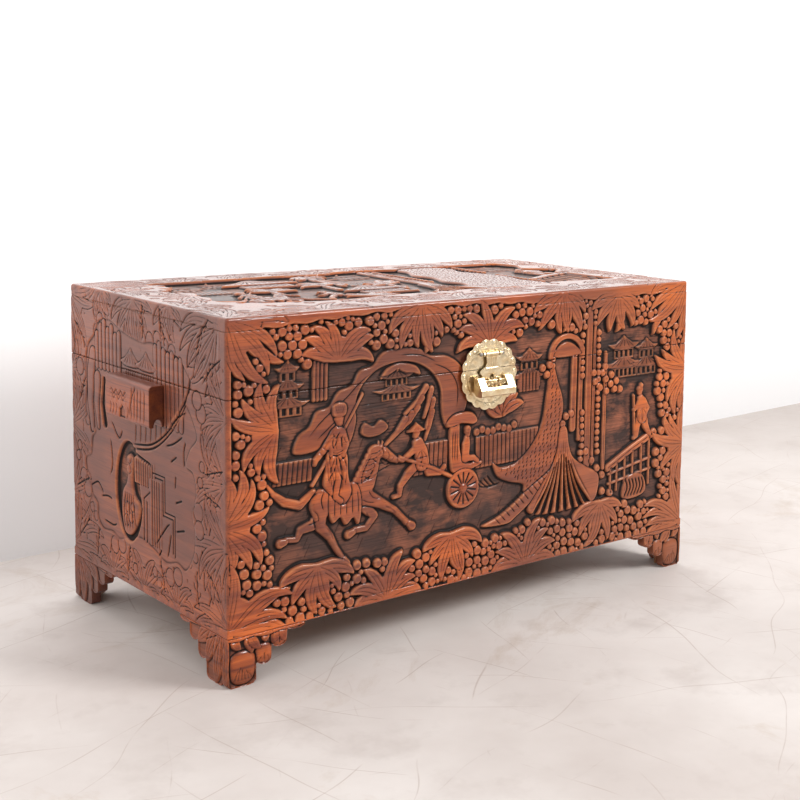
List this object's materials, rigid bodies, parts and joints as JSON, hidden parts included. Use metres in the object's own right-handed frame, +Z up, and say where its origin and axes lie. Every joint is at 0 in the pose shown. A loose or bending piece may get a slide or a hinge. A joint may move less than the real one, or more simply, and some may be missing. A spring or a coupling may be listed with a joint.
{
  "type": "wooden chest",
  "caption": "Carved wooden storage chest with a hinged lid, scalloped brass lock plate, hasp and bar padlock, block handles, bracket feet and an inner lid stay.",
  "frame": {"origin": "on the ground under the middle of the whole chest, lock and hinges included", "axes": "+X along the front to the right as the chest is faced, -Y out of the front, +Z up"},
  "size_m": [0.9986, 0.5606, 0.537],
  "materials": {
    "carved_wood": "varnished, carved in relief, dark stained recesses",
    "plain_wood": "bare, planed",
    "brass": "polished, slightly worn",
    "pin_steel": "dull"
  },
  "bodies": {
    "case": {"front_board": "carved_wood", "back_board": "carved_wood", "left_end_board": "carved_wood", "right_end_board": "carved_wood", "bottom_board": "carved_wood", "foot_front_left_face": "carved_wood", "foot_front_left_return": "carved_wood", "foot_front_right_face": "carved_wood", "foot_front_right_return": "carved_wood", "foot_back_left_face": "carved_wood", "foot_back_left_return": "carved_wood", "foot_back_right_face": "carved_wood", "foot_back_right_return": "carved_wood", "left_handle": "carved_wood", "right_handle": "carved_wood", "foot_front_left_block": "plain_wood", "foot_front_right_block": "plain_wood", "foot_back_left_block": "plain_wood", "foot_back_right_block": "plain_wood", "dust_lip_front": "plain_wood", "dust_lip_left": "plain_wood", "dust_lip_right": "plain_wood", "lock_plate_lower": "brass", "staple": "brass", "lock_tack_lower_1": "brass", "lock_tack_lower_2": "brass", "lock_tack_lower_3": "brass", "hinge_left_case_leaf": "brass", "hinge_right_case_leaf": "brass", "hinge_left_case_screw_1": "brass", "hinge_left_case_screw_2": "brass", "hinge_right_case_screw_1": "brass", "hinge_right_case_screw_2": "brass", "stay_case_bracket": "brass", "hinge_left_pin": "pin_steel", "hinge_right_pin": "pin_steel"},
    "lid": {"lid_top": "carved_wood", "lid_front_rail": "carved_wood", "lid_back_rail": "carved_wood", "lid_left_rail": "carved_wood", "lid_right_rail": "carved_wood", "lock_plate_upper": "brass", "lock_tack_upper_1": "brass", "lock_tack_upper_2": "brass", "hasp_eye_left": "brass", "hasp_eye_right": "brass", "hasp_pin": "brass", "hinge_left_lid_leaf": "brass", "hinge_right_lid_leaf": "brass", "hinge_left_lid_screw_1": "brass", "hinge_left_lid_screw_2": "brass", "hinge_right_lid_screw_1": "brass", "hinge_right_lid_screw_2": "brass", "stay_lid_bracket": "brass"},
    "hasp": {"hasp": "brass"},
    "padlock": {"padlock_case": "brass"},
    "bolt": {"padlock_bolt": "brass"},
    "stay": {"stay_arm": "brass"}
  },
  "joints": [
    {"name": "lid_hinge", "type": "hinge", "parent": "case", "child": "lid", "pos_m": [0, 0.27615, 0.4205], "axis": [-1, 0, 0], "range_deg": [0, 95]},
    {"name": "stay_pivot", "type": "hinge", "parent": "lid", "child": "stay", "pos_m": [0.4452, 0.08386, 0.4755], "axis": [-1, 0, 0], "range_deg": [-47.5, 0]},
    {"name": "hasp_hinge", "type": "hinge", "parent": "lid", "child": "hasp", "pos_m": [0, -0.26035, 0.4455], "axis": [-1, 0, 0], "range_deg": [0, 100]},
    {"name": "padlock_swing", "type": "hinge", "parent": "hasp", "child": "padlock", "pos_m": [0, -0.26535, 0.402], "axis": [-1, 0, 0], "range_deg": [0, 70]},
    {"name": "bolt_slide", "type": "slide", "parent": "padlock", "child": "bolt", "axis": [1, 0, 0], "range_m": [0, 0.035]}
  ],
  "couplings": [
    {"joint": "stay_pivot", "follows": "lid_hinge", "ratio": -0.5}
  ]
}
